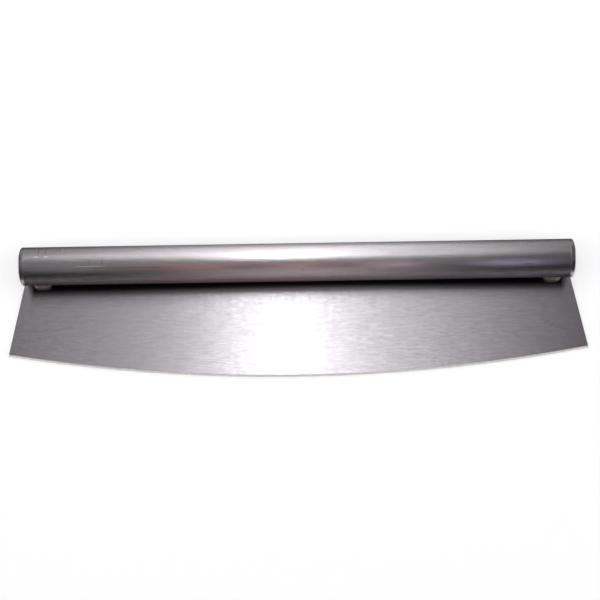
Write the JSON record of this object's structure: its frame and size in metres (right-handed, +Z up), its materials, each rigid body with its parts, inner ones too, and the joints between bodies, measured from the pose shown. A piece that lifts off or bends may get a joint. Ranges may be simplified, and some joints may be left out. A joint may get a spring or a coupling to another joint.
{
  "type": "rocking pizza knife",
  "caption": "Steel rocking pizza knife: a wide blade with an arced ground edge and a full-length round tube handle welded along its top.",
  "frame": {"origin": "centre of the footprint on the surface that the knife lies on, with its back face down", "axes": "+X along the handle, +Y from the cutting edge to the handle, +Z up, out of the blade's front face"},
  "size_m": [0.3556, 0.0805, 0.0256],
  "materials": {
    "blade_steel": "fine satin grain running lengthwise, bright ground bevel",
    "handle_steel": "satin, lengthwise grain with a few light marks",
    "cap_steel": "satin, linished flat",
    "weld_steel": "brushed weld bead with a faint heat tint"
  },
  "bodies": {
    "root": {"blade": "blade_steel", "handle_tube": "handle_steel", "end_cap_left": "cap_steel", "end_cap_right": "cap_steel", "back_weld": "weld_steel", "front_tack_left": "weld_steel", "front_tack_middle": "weld_steel", "front_tack_right": "weld_steel"}
  },
  "joints": []
}
